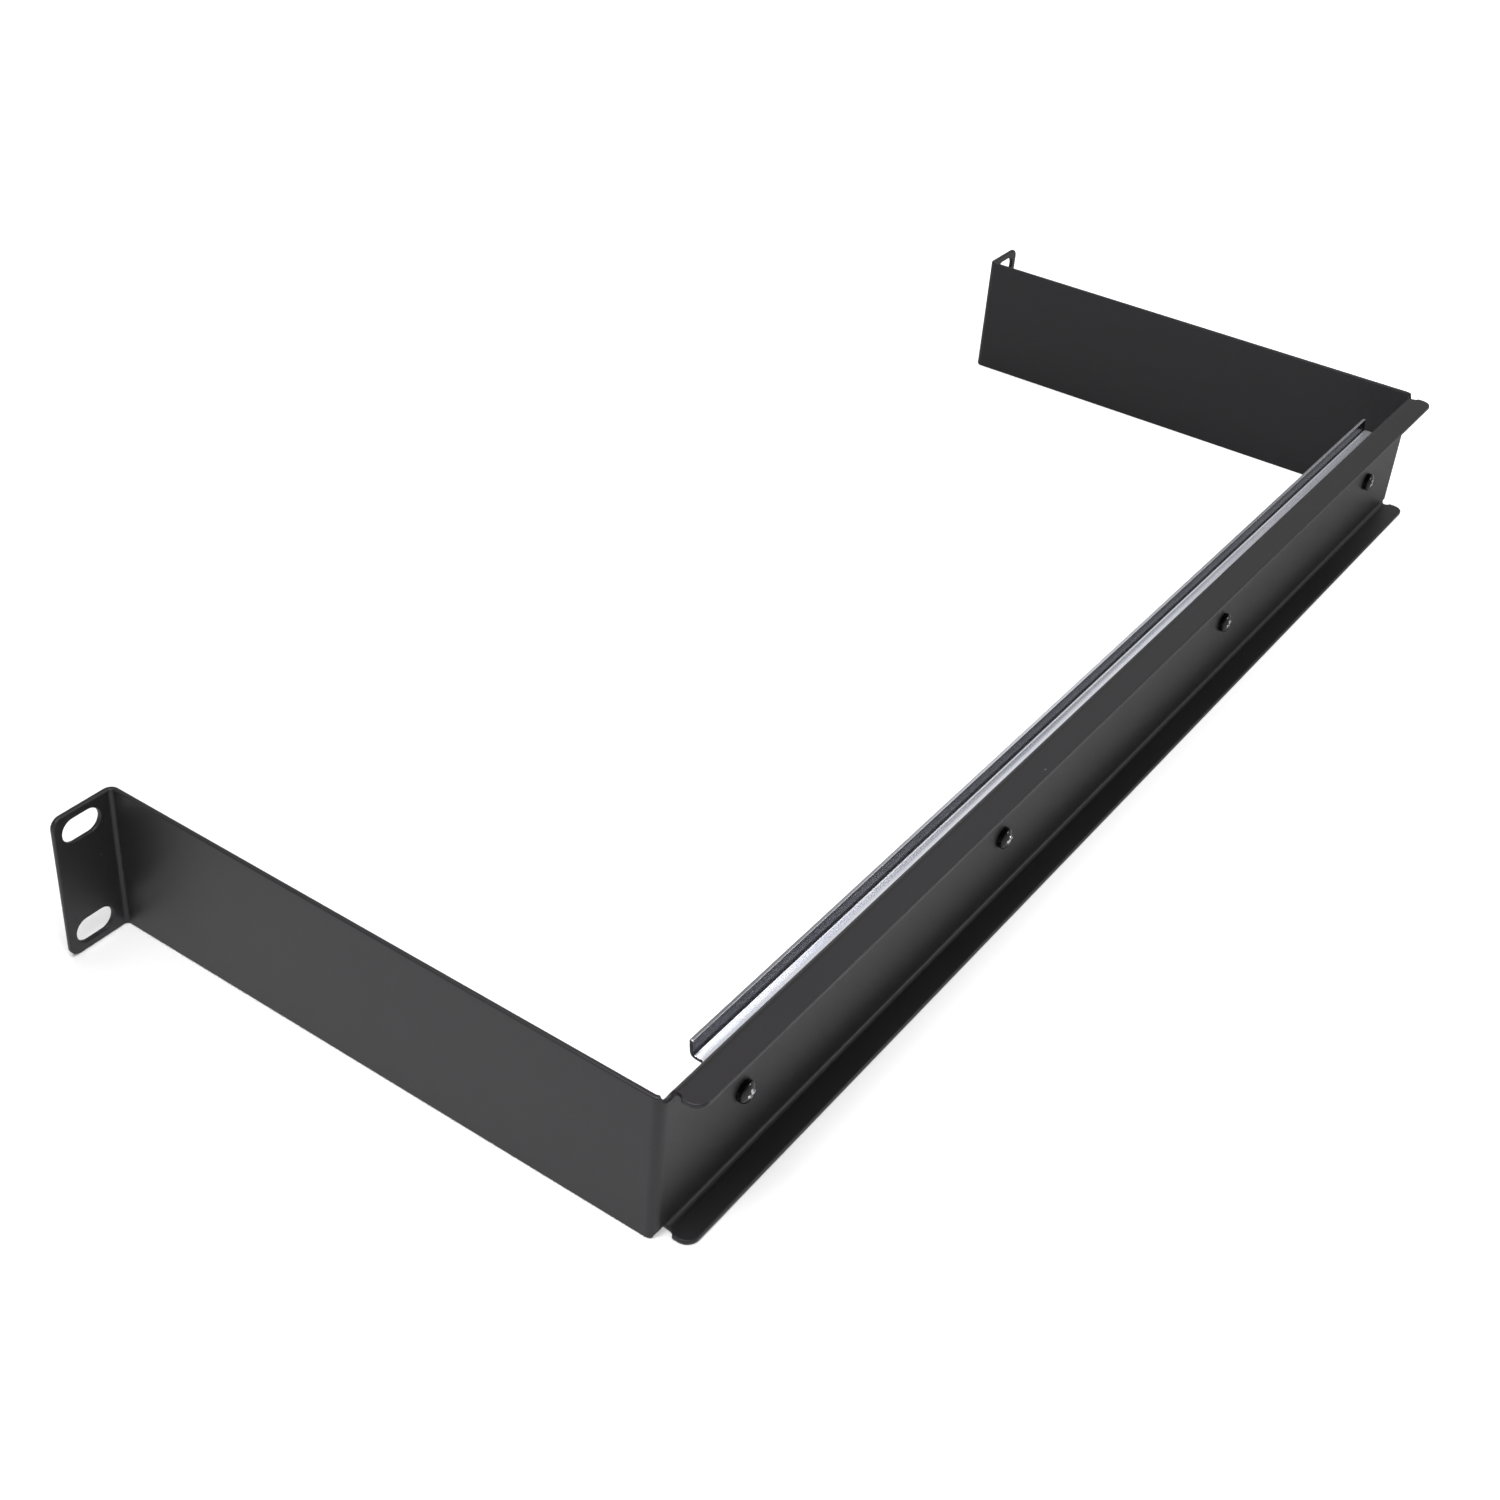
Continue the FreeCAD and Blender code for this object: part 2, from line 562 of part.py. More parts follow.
def bevel_section(sketch):
    """The wedge that a turn about the nut's axis takes off its corners, at the face away from the washer."""
    face, corner = value_of("nut_flats / 2"), value_of("nut_flats / sqrt(3)")
    low, high = -value_of("nut_height"), value_of("nut_corner_drop - nut_height")
    bottom, side, slope = sketch.addGeometry([
        line((face, low), (corner, low)),
        line((corner, low), (corner, high)),
        line((corner, high), (face, low)),
    ])
    fix(sketch, "Coincident", bottom, END, side, START)
    fix(sketch, "Coincident", side, END, slope, START)
    fix(sketch, "Coincident", slope, END, bottom, START)
    fix(sketch, "Horizontal", bottom)
    fix(sketch, "Vertical", side)
    dimension(sketch, "face", "nut_flats / 2", "DistanceX", *ORIGIN, bottom, START)
    dimension(sketch, "corner", "nut_flats / sqrt(3)", "DistanceX", *ORIGIN, side, START)
    dimension(sketch, "height", "nut_height", "DistanceY", bottom, START, *ORIGIN)
    dimension(sketch, "drop", "nut_corner_drop", "DistanceY", side, START, side, END)


def place_at_screws(body, level):
    """Repeat the fastener at all four screws, with its axis along Y and its own base at the given level."""
    repeat_along(body, "inner_and_outer", "X_Axis", f"{OUTER_SCREW} - {INNER_SCREW}", "2")
    mirror_whole(body, "both_sides", "YZ_Plane")
    body.Placement = Placement(Vector(), Rotation(Vector(1, 0, 0), -90))
    body.setExpression("Placement.Base.y", bound(level))
    return body


def build_screws():
    """Cross-recessed screws, whose heads seat on the web's rear face."""
    body = new_body("rail_screws")
    section = sketch_on(body, "screw_half_section", "XZ_Plane", x=INNER_SCREW)
    screw_section(section)
    revolve(body, "turned_screw", "Revolution", section)
    for name, long, wide in (
        ("recess_across", "recess_span", "recess_width"),
        ("recess_upright", "recess_width", "recess_span"),
    ):
        bar = sketch_on(body, f"{name}_outline", "XY_Plane", x=INNER_SCREW, z="head_height")
        bar_outline(bar, long, wide)
        pocket(body, name, bar, "recess_depth")
    return place_at_screws(body, WEB_REAR)


def build_washers():
    """Plain washers, which seat on the rail's base inside the channel and bridge its slots."""
    body = new_body("rail_washers")
    ring = sketch_on(body, "washer_outline", "XY_Plane", x=INNER_SCREW)
    circle_outline(ring, "outside", "washer_diameter")
    circle_outline(ring, "bore", "(screw_diameter + washer_clearance)")
    pad(body, "washer", ring, "washer_thickness", reverse=True)
    return place_at_screws(body, RAIL_FRONT)


def build_nuts():
    """Hexagon nuts on the washers."""
    body = new_body("rail_nuts")
    outline = sketch_on(body, "nut_outline", "XY_Plane", x=INNER_SCREW)
    hexagon_outline(outline, "nut_flats")
    circle_outline(outline, "bore", "(screw_diameter + thread_clearance)")
    pad(body, "nut", outline, "nut_height", reverse=True)
    bevel = sketch_on(body, "corner_bevel_outline", "XZ_Plane", x=INNER_SCREW)
    bevel_section(bevel)
    revolve(body, "corner_bevel", "Groove", bevel)
    return place_at_screws(body, f"{RAIL_FRONT} - washer_thickness")


PIECES = [build_bracket(), build_rail(), build_screws(), build_washers(), build_nuts()]
doc.recompute()

for item in doc.Objects:
    if "Invalid" in item.State or "Error" in item.State:
        raise RuntimeError(f"{item.Label} did not recompute")
for piece in PIECES:
    if piece.Shape.isNull() or not piece.Shape.isValid():
        raise RuntimeError(f"{piece.Label} has no sound shape")

os.makedirs("parts", exist_ok=True)
for piece in PIECES:
    piece.Shape.exportStep(f"parts/{piece.Label}.step")
    box = piece.Shape.BoundBox
    print(
        f"{piece.Label}: {len(piece.Shape.Solids)} solid(s), {piece.Shape.Volume:.1f} mm3, "
        f"x {box.XMin:.2f} {box.XMax:.2f}, y {box.YMin:.2f} {box.YMax:.2f}, z {box.ZMin:.2f} {box.ZMax:.2f}"
    )
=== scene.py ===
# %% [markdown]
# This lesson dresses a rack bracket that carries a top-hat rail. The real bracket is one sheet of
# steel: its blank is cut flat, folded on a press and powder coated. The rail is a strip of zinc plated
# steel, perforated and rolled into shape, and four small black screws hold it on the bracket's web.
# The CAD model gives the frame: what is made here goes exactly where the CAD nodes are, in metres.

# %% Load the frame
import json
import math
from functools import partial

import bmesh
import bpy
from mathutils import Matrix, Quaternion, Vector


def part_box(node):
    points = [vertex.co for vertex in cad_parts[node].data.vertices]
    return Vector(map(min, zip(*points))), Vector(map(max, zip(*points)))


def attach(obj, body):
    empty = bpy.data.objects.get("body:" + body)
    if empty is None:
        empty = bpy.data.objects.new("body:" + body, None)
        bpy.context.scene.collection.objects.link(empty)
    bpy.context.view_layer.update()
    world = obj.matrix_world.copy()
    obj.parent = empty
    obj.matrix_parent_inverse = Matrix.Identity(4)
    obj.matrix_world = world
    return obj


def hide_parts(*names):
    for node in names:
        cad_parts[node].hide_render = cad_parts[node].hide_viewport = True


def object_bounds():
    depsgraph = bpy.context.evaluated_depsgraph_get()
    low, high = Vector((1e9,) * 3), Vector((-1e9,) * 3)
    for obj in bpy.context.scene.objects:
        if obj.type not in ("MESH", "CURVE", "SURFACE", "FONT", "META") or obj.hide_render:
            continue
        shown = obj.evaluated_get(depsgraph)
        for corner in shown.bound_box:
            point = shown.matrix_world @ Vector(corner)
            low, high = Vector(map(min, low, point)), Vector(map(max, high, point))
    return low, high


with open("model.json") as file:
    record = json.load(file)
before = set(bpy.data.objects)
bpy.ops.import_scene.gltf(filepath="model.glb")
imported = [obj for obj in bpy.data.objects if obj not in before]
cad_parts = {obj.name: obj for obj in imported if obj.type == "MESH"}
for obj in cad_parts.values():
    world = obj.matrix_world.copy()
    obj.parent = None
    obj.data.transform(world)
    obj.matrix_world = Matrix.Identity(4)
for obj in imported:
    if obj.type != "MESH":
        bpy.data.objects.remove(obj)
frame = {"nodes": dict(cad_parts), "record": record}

cad_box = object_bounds()
mm = 0.001
hair = 0.001 * mm
print("CAD nodes:", ", ".join(sorted(frame["nodes"])))

# %% [markdown]
# Geometry Nodes and shader nodes share the same Math nodes. Adding and linking them one by one hides the
# formula, so a small class wraps a node's output and lets the usual operators add the Math nodes. Every
# other kind of node comes from its one method, which takes the node's type, its settings and its sockets,
# with a list of wires for a socket that takes several.

# %% Arithmetic on node sockets
class Wire:
    """A node's output, on which plain arithmetic adds Math nodes to the same tree."""

    def __init__(self, socket):
        self.socket = socket

    @staticmethod
    def node(tree, kind, settings=None, sockets=None, output=0):
        made = tree.nodes.new(kind)
        for name, value in (settings or {}).items():
            setattr(made, name, value)
        for key, value in (sockets or {}).items():
            by_identifier = [item for item in made.inputs if item.identifier == key]
            socket = by_identifier[0] if by_identifier else made.inputs[key]
            if isinstance(value, Wire):
                tree.links.new(value.socket, socket)
            elif isinstance(value, list):
                for wire in value:
                    tree.links.new(wire.socket, socket)
            else:
                socket.default_value = value
        return Wire(made.outputs[output]) if made.outputs else made

    def math(self, operation, *values):
        values = dict(enumerate(values))
        return Wire.node(self.socket.id_data, "ShaderNodeMath", {"operation": operation}, values)

    def __add__(self, other):
        return self.math("ADD", self, other)

    def __sub__(self, other):
        return self.math("SUBTRACT", self, other)

    def __rsub__(self, other):
        return self.math("SUBTRACT", other, self)

    def __mul__(self, other):
        return self.math("MULTIPLY", self, other)

    def __truediv__(self, other):
        return self.math("DIVIDE", self, other)

    def __gt__(self, other):
        return self.math("GREATER_THAN", self, other)

    def __lt__(self, other):
        return self.math("LESS_THAN", self, other)

    def __abs__(self):
        return self.math("ABSOLUTE", self)

    __radd__ = __add__

    def least(self, other):
        return self.math("MINIMUM", self, other)

    def most(self, other):
        return self.math("MAXIMUM", self, other)

    def sine(self):
        return self.math("SINE", self)

    def cosine(self):
        return self.math("COSINE", self)

    def sign(self):
        return self.math("SIGN", self)


print("Wire:", Wire.__doc__)

# %% [markdown]
# A geometry tree is a recipe with named sizes. These helpers open a tree with its inputs, close it with
# Realize Instances and Set Material, put it on an object, and turn the result into a plain mesh, because a
# finished piece carries no live tree. Handing a piece over hides the CAD node it stands for.
# Building each tree by hand in the editor would work as well, but a script can be read and run again.

# %% Helpers for geometry trees
def open_tree(name, sizes):
    tree = bpy.data.node_groups.new(name, "GeometryNodeTree")
    sockets = {"Geometry": "NodeSocketGeometry", **sizes, "Material": "NodeSocketMaterial"}
    for label, kind in sockets.items():
        tree.interface.new_socket(label, in_out="INPUT", socket_type=kind)
    tree.interface.new_socket("Geometry", in_out="OUTPUT", socket_type="NodeSocketGeometry")
    source = tree.nodes.new("NodeGroupInput")
    return tree, {label: Wire(source.outputs[label]) for label in sockets}


def close_tree(tree, geometry, material):
    whole = Wire.node(tree, "GeometryNodeRealizeInstances", sockets={"Geometry": geometry})
    dressed = Wire.node(tree, "GeometryNodeSetMaterial", sockets={"Geometry": whole, "Material": material})
    Wire.node(tree, "NodeGroupOutput", sockets={"Geometry": dressed})


def put_tree(piece, tree, sizes):
    modifier = piece.modifiers.new(tree.name, "NODES")
    modifier.node_group = tree
    for item in tree.interface.items_tree:
        if item.in_out == "INPUT" and item.name in sizes:
            modifier[item.identifier] = sizes[item.name]


def new_piece(name, mesh):
    piece = bpy.data.objects.new(name, mesh)
    bpy.context.scene.collection.objects.link(piece)
    return piece


def settle(piece):
    """Makes what the modifiers give the piece's own plain mesh."""
    evaluated = piece.evaluated_get(bpy.context.evaluated_depsgraph_get())
    mesh = bpy.data.meshes.new_from_object(evaluated)
    piece.modifiers.clear()
    piece.data = mesh
    return mesh


def hand_over(piece, node, material_slot):
    """The piece stands for the CAD node, which is hidden, and rides on the one body; its material slot is
    not used.
    """
    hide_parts(node)
    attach(piece, "root")
    print(piece.name, "has", len(piece.data.polygons), "faces")


helpers = (open_tree, close_tree, put_tree, new_piece, settle, hand_over)
print("helpers:", ", ".join(helper.__name__ for helper in helpers))

# %% [markdown]
# The first tree cuts a blank, as a punch press does: it fills the drawn outlines, which leaves the holes
# open, and gives the sheet its thickness. A rail also has a row of slots at an even pitch, so the tree
# takes one slot and repeats it along a line. Drawing the holes before filling keeps clean edges, where
# cutting them out of a plate with booleans would not.

# %% A tree that cuts a blank
nearly_half = 0.499
slot_end_steps = 10


def blank_tree():
    tree, size = open_tree("cut_blank", {
        "Thickness": "NodeSocketFloat",
        "Slots": "NodeSocketInt",
        "Slot pitch": "NodeSocketFloat",
        "Slot length": "NodeSocketFloat",
        "Slot width": "NodeSocketFloat",
    })
    add = partial(Wire.node, tree)
    outlines = add("GeometryNodeMeshToCurve", sockets={"Mesh": size["Geometry"]})
    box = add("GeometryNodeCurvePrimitiveQuadrilateral", sockets={
        "Width": size["Slot length"],
        "Height": size["Slot width"],
    })
    slot = add("GeometryNodeFilletCurve", {"mode": "POLY"}, {
        "Curve": box,
        "Radius": size["Slot width"] * nearly_half,
        "Count": slot_end_steps,
    })
    start = add("ShaderNodeCombineXYZ", sockets={"X": size["Slot pitch"] * (size["Slots"] - 1) * -0.5})
    pitch = add("ShaderNodeCombineXYZ", sockets={"X": size["Slot pitch"]})
    row = add("GeometryNodeMeshLine", sockets={
        "Count": size["Slots"],
        "Start Location": start,
        "Offset": pitch,
    })
    slots = add("GeometryNodeInstanceOnPoints", sockets={"Points": row, "Instance": slot})
    punched = add("GeometryNodeRealizeInstances", sockets={"Geometry": slots})
    drawing = add("GeometryNodeJoinGeometry", sockets={"Geometry": [outlines, punched]})
    face = add("GeometryNodeFillCurve", {"mode": "NGONS"}, {"Curve": drawing})
    lift = add("ShaderNodeCombineXYZ", sockets={"Z": size["Thickness"] * -0.5})
    low_face = add("GeometryNodeSetPosition", sockets={"Geometry": face, "Offset": lift})
    walls = add("GeometryNodeExtrudeMesh", sockets={
        "Mesh": low_face,
        "Offset": (0.0, 0.0, 1.0),
        "Offset Scale": size["Thickness"],
        "Individual": False,
    })
    turned = add("GeometryNodeFlipFaces", sockets={"Mesh": low_face})
    shell = add("GeometryNodeJoinGeometry", sockets={"Geometry": [walls, turned]})
    closed = add("GeometryNodeMergeByDistance", sockets={"Geometry": shell, "Distance": hair})
    close_tree(tree, closed, size["Material"])
    return tree


cut_blank = blank_tree()
print(cut_blank.name, "has", len(cut_blank.nodes), "nodes")

# %% [markdown]
# The second tree is the press brake. It folds the sheet by an angle along two lines that mirror each
# other. A point before the line stays, a point in the bend goes round the bend's middle, and a point
# beyond it swings over with the flat. The sheet's middle layer keeps its length, so a blank's developed
# length is the flats plus an arc at that layer for each bend. A lattice or an armature would bend the
# sheet as well, but would not keep the radius and the thickness true.

# %% A tree that folds a sheet
def fold_tree():
    tree, size = open_tree("fold_sheet", {
        "Line": "NodeSocketFloat",
        "Angle": "NodeSocketFloat",
        "Middle radius": "NodeSocketFloat",
        "Middle layer": "NodeSocketFloat",
        "Towards": "NodeSocketFloat",
        "Upwards": "NodeSocketBool",
        "Reach": "NodeSocketFloat",
    })
    add = partial(Wire.node, tree)
    place = add("GeometryNodeInputPosition")
    parts = [add("ShaderNodeSeparateXYZ", sockets={"Vector": place}, output=axis) for axis in range(3)]
    across = add("GeometryNodeSwitch", {"input_type": "FLOAT"}, {
        "Switch": size["Upwards"],
        "False": parts[0],
        "True": parts[2],
    })
    past_line = abs(across) - size["Line"]
    bend_length = size["Middle radius"] * size["Angle"]
    turn = past_line.most(0.0).least(bend_length) / size["Middle radius"]
    flat = (past_line - bend_length).most(0.0)
    lever = size["Middle radius"] - size["Towards"] * (parts[1] - size["Middle layer"])
    folded = size["Line"] + past_line.least(0.0) + lever * turn.sine() + flat * turn.cosine()
    folded = folded * across.sign()
    rise = size["Middle radius"] - lever * turn.cosine() + flat * turn.sine()
    depth = size["Middle layer"] + size["Towards"] * rise
    ends = []
    for upright, kept in ((False, parts[0]), (True, parts[2])):
        ends.append(add("GeometryNodeSwitch", {"input_type": "FLOAT"}, {
            "Switch": size["Upwards"],
            "False": kept if upright else folded,
            "True": folded if upright else kept,
        }))
    moved = add("ShaderNodeCombineXYZ", sockets={"X": ends[0], "Y": depth, "Z": ends[1]})
    near = abs(parts[0]) < size["Reach"]
    bent = add("GeometryNodeSetPosition", sockets={
        "Geometry": size["Geometry"],
        "Selection": near,
        "Position": moved,
    })
    close_tree(tree, bent, size["Material"])
    return tree


fold_sheet = fold_tree()
print(fold_sheet.name, "has", len(fold_sheet.nodes), "nodes")

# %% [markdown]
# A blank is drawn as plain loops of points, with its round corners and holes as arcs, as on the drawing from
# which a punch or a laser works. Curve objects could hold the loops too, but a list of points shows what is
# mirrored and what is measured.

# %% Helpers that draw loops
hole_end_steps = 20


def arc(centre, radius, start, end, steps):
    """Points on an arc, with its angles in degrees."""
    angles = [math.radians(start + (end - start) * step / steps) for step in range(steps + 1)]
    x, y = centre
    return [(x + radius * math.cos(angle), y + radius * math.sin(angle)) for angle in angles]


def slot_loop(centre, length, width):
    """A slot with round ends, or a round hole where the length is the width."""
    half = (length - width) / 2
    right = arc((centre[0] + half, centre[1]), width / 2, -90, 90, hole_end_steps)
    left = arc((centre[0] - half, centre[1]), width / 2, 90, 270, hole_end_steps)
    return right + (left if half else left[1:-1])


def four_quarters(quarter):
    """The whole loop from the part of it that goes from straight above the middle to its right."""
    lower = [(x, -y) for x, y in reversed(quarter)]
    half = quarter + lower
    return half + [(-x, y) for x, y in reversed(half)]


def outline_mesh(name, loops):
    points = []
    edges = []
    for loop in loops:
        first = len(points)
        points += [(x, y, 0.0) for x, y in loop]
        edges += [(first + k, first + (k + 1) % len(loop)) for k in range(len(loop))]
    mesh = bpy.data.meshes.new(name)
    mesh.from_pydata(points, edges, [])
    return mesh


print("a round hole is drawn with", 2 * hole_end_steps, "steps")

# %% [markdown]
# The cut sheet gets a small round on its edges, as a coat or a deburring wheel gives them. It is stood
# upright in the web's plane and cut into narrow strips where it will bend, because only points can move: a
# face without cuts would fold along one hard line. The bevel that rounds the edges isn't clamped: a clamp
# would shrink it everywhere to fit the tightest spot.

# %% Helpers that fold a sheet
strips_per_bend = 12
right_angle = math.pi / 2
no_limit = 10.0
edge_segments = 4
crease = math.radians(40)


def cut_at(sheet, axis, places):
    """Cuts the faces of a bmesh at these places on one axis, on both sides of the middle."""
    for place in [side * reach for reach in places for side in (-1, 1)]:
        point = Vector((0, 0, 0))
        point[axis] = place
        normal = Vector((0, 0, 0))
        normal[axis] = 1
        everything = sheet.verts[:] + sheet.edges[:] + sheet.faces[:]
        bmesh.ops.bisect_plane(sheet, geom=everything, plane_co=point, plane_no=normal, dist=hair)


def drop_slivers(part):
    """Takes edges and faces without size out of a bmesh, which cutting can leave."""
    bmesh.ops.dissolve_degenerate(part, dist=hair, edges=part.edges[:])


def fold_piece(name, loops, row, thickness, edge_round, layer, folds, material):
    """A sheet piece from its flat loops: cut, edges rounded, stood upright, then folded bend by bend."""
    piece = new_piece(name, outline_mesh(name, loops))
    put_tree(piece, cut_blank, {"Thickness": thickness, "Material": material, **row})
    rounding = piece.modifiers.new("edges", "BEVEL")
    rounding.width = edge_round
    rounding.segments = edge_segments
    rounding.limit_method = "ANGLE"
    rounding.angle_limit = crease
    rounding.use_clamp_overlap = False
    rounding.loop_slide = False
    mesh = settle(piece)
    mesh.transform(Matrix.Translation((0, layer, 0)) @ Matrix.Rotation(right_angle, 4, "X"))
    sheet = bmesh.new()
    sheet.from_mesh(mesh)
    for fold in folds:
        bend_length = fold["Middle radius"] * fold["Angle"]
        places = [fold["Line"] + bend_length * k / strips_per_bend for k in range(strips_per_bend + 1)]
        cut_at(sheet, 2 if fold["Upwards"] else 0, places)
        if "Reach" in fold:
            cut_at(sheet, 0, [fold["Reach"]])
    drop_slivers(sheet)
    bmesh.ops.recalc_face_normals(sheet, faces=sheet.faces[:])
    sheet.to_mesh(mesh)
    sheet.free()
    mesh.shade_smooth()
    shared = {"Middle layer": layer, "Reach": no_limit, "Material": material}
    for fold in folds:
        put_tree(piece, fold_sheet, {**shared, **fold})
    shading = piece.modifiers.new("shading", "WEIGHTED_NORMAL")
    shading.keep_sharp = True
    settle(piece)
    return piece


print("a right-angle bend is cut into", strips_per_bend, "strips")

# %% [markdown]
# All finishes are procedural, in Object coordinates, so that no seam shows and no picture is needed. A few
# helpers start a material, scale a noise by the size of its lumps, mix two colours and add a bump. Painted
# pictures would give more control over single marks, but would have to be unwrapped and stored.

# %% Helpers for finishes
def start_material(name):
    material = bpy.data.materials.new(name)
    material.use_nodes = True
    tree = material.node_tree
    where = Wire.node(tree, "ShaderNodeTexCoord", output="Object")
    return material, tree, tree.nodes["Principled BSDF"], where


no_stretch = (1.0, 1.0, 1.0)


def noise(tree, where, grain, detail=2.0, stretch=no_stretch):
    """Noise from 0 to 1 whose lumps are about one grain across, in metres, and longer where stretched."""
    scaled = Wire.node(tree, "ShaderNodeMapping", sockets={
        "Vector": where,
        "Scale": tuple(1.0 / (grain * factor) for factor in stretch),
    })
    return Wire.node(tree, "ShaderNodeTexNoise", sockets={"Vector": scaled, "Scale": 1.0, "Detail": detail})


def mix_colours(tree, factor, first, second):
    return Wire.node(tree, "ShaderNodeMix", {"data_type": "RGBA"}, {
        "Factor_Float": factor,
        "A_Color": first,
        "B_Color": second,
    }, output=2)


def bump(tree, shader, height, distance, strength):
    ripple = Wire.node(tree, "ShaderNodeBump", sockets={
        "Height": height,
        "Distance": distance,
        "Strength": strength,
    })
    tree.links.new(ripple.socket, shader.inputs["Normal"])


def link(tree, shader, **wires):
    for name, wire in wires.items():
        tree.links.new(wire.socket, shader.inputs[name.replace("_", " ")])


helpers = (start_material, noise, mix_colours, bump, link)
print("helpers:", ", ".join(helper.__name__ for helper in helpers))

# %% [markdown]
# The bracket's finish is a matte black powder coat. Powder melts into a skin with a very fine, even ripple
# that breaks up reflections, so the colour stays nearly flat while bump and roughness do the work. The
# ripple is a noise of about half a millimetre, a larger and weaker noise lets the gloss drift over the
# sheet, and a few specks of dust lie on it. Its sheen has a faint violet cast. A displacement would need
# millions of faces for the same look.

# %% Powder coat
coat_tones = ((0.0100, 0.0096, 0.0102, 1), (0.0130, 0.0125, 0.0132, 1))
coat_cast = (0.99, 0.94, 1.0, 1)
coat_index = 1.42
coat_roughness = 0.39
coat_gloss_patch = 35 * mm
coat_gloss_drift = 0.08
coat_ripple = 0.55 * mm
coat_ripple_height = 0.03 * mm
coat_ripple_strength = 0.5
coat_ripple_roughness = 0.06
dust_tone = (0.30, 0.30, 0.30, 1)
dust_spacing = 4 * mm
dust_share = 0.05
dust_size = 0.06
dust_cover = 0.5


def matte_coat_finish():
    material, tree, shader, where = start_material("matte_black_coat")
    drift = noise(tree, where, coat_gloss_patch)
    ripple = noise(tree, where, coat_ripple)
    cells = {"Vector": where, "Scale": 1 / dust_spacing}
    to_speck = Wire.node(tree, "ShaderNodeTexVoronoi", sockets=cells)
    chance = Wire.node(tree, "ShaderNodeTexVoronoi", sockets=cells, output="Color")
    picked = Wire.node(tree, "ShaderNodeSeparateColor", sockets={"Color": chance}) < dust_share
    dust = (to_speck < dust_size) * picked * dust_cover
    coat = mix_colours(tree, drift, *coat_tones)
    dusty = mix_colours(tree, dust, coat, dust_tone)
    roughness = coat_roughness + drift * coat_gloss_drift + ripple * coat_ripple_roughness
    link(tree, shader, Base_Color=dusty, Roughness=roughness)
    shader.inputs["IOR"].default_value = coat_index
    shader.inputs["Specular Tint"].default_value = coat_cast
    bump(tree, shader, ripple, coat_ripple_height, coat_ripple_strength)
    return material


matte_coat = matte_coat_finish()
print(matte_coat.name, "has", len(matte_coat.node_tree.nodes), "nodes")

# %% [markdown]
# The bracket's sizes come from the CAD node's box and from the record's rack mount. Only what a box can't
# tell is written here: how far the ears reach out, the bends' inside radius and the round corners. The
# flat lengths follow from the bends' middle layer. Writing down every length again would be quicker, but the
# scene would no longer follow the CAD model.

# %% Sizes of the bracket
bracket_low, bracket_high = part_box("bracket")
rail_low, rail_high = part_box("din_rail")
screws_low, screws_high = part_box("rail_screws")
rack_slots = next(mount for mount in frame["record"]["mounts"] if mount["name"] == "rack_ears")["dims"]

gauge = -bracket_low.y
ear_reach = 18.3 * mm
ear_corner = 3.0 * mm
flange_corner = 3.5 * mm
flange_end_gap = 0.7 * mm
relief_radius = 1.75 * mm
screw_hole = 3.4 * mm
inner_screw = 70.0 * mm
head_radius = 3.0 * mm
edge_round = 0.45 * mm
outer_screw = screws_high.x - head_radius
bend_radius = 1.2 * mm + gauge / 2
bend_length = bend_radius * right_angle

web_layer = rail_high.y + gauge / 2
ear_layer = bracket_low.y + gauge / 2
arm_layer = bracket_high.x - ear_reach - gauge / 2
arm_line = arm_layer - bend_radius
flange_line = bracket_high.z - gauge / 2 - bend_radius
flange_edge = flange_line + bend_length + bracket_high.y - web_layer - bend_radius
ear_line = arm_line + bend_length + web_layer - ear_layer - 2 * bend_radius
ear_flat = ear_line + bend_length
ear_edge = ear_flat + bracket_high.x - arm_layer - bend_radius
slot_place = ear_flat + rack_slots["spacing_x_mm"] / 2 * mm - arm_layer - bend_radius
print(f"the flat blank is {2 * ear_edge / mm:.1f} by {2 * flange_edge / mm:.1f} mm")

# %% [markdown]
# One quarter of the blank's outline is enough, because the bracket mirrors both ways. It runs along the
# flange, round the flange's corner, round the relief that lets flange and arm fold without tearing, and
# along the arm to the ear's corner. The flanges fold first, then the ears, and the arms swing round last.
# The folded shape could be drawn face by face, but folding a blank keeps every bend as the press leaves it.

# %% Bracket
corner_steps = 12
relief_steps = 14


def bracket_loops():
    flange_end = arm_line - flange_end_gap
    relief = (flange_end + flange_end_gap / 2, bracket_high.z)
    relief_start = math.degrees(math.acos((flange_end - relief[0]) / relief_radius))
    corner = (flange_end - flange_corner, flange_edge - flange_corner)
    quarter = arc(corner, flange_corner, 90, 0, corner_steps)
    quarter += arc(relief, relief_radius, relief_start, 360, relief_steps)
    corner = (ear_edge - ear_corner, bracket_high.z - ear_corner)
    quarter += arc(corner, ear_corner, 90, 0, corner_steps)
    loops = [four_quarters(quarter)]
    rack_slot = (rack_slots["slot_length_mm"] * mm, 2 * rack_slots["hole_r_mm"] * mm)
    for side in (-1, 1):
        for level in (-1, 1):
            height = level * rack_slots["spacing_y_mm"] / 2 * mm
            loops.append(slot_loop((side * slot_place, height), *rack_slot))
        for reach in (inner_screw, outer_screw):
            loops.append(slot_loop((side * reach, 0), screw_hole, screw_hole))
    return loops


bend = {"Angle": right_angle, "Middle radius": bend_radius}
flange_reach = arm_line - flange_end_gap / 2
bracket_folds = [
    {**bend, "Line": flange_line, "Towards": 1.0, "Upwards": True, "Reach": flange_reach},
    {**bend, "Line": ear_line, "Towards": 1.0, "Upwards": False},
    {**bend, "Line": arm_line, "Towards": -1.0, "Upwards": False},
]
bracket = fold_piece(
    "folded_bracket", bracket_loops(), {"Slots": 0}, gauge, edge_round, web_layer, bracket_folds, matte_coat
)
hand_over(bracket, "bracket", "powder_coat")

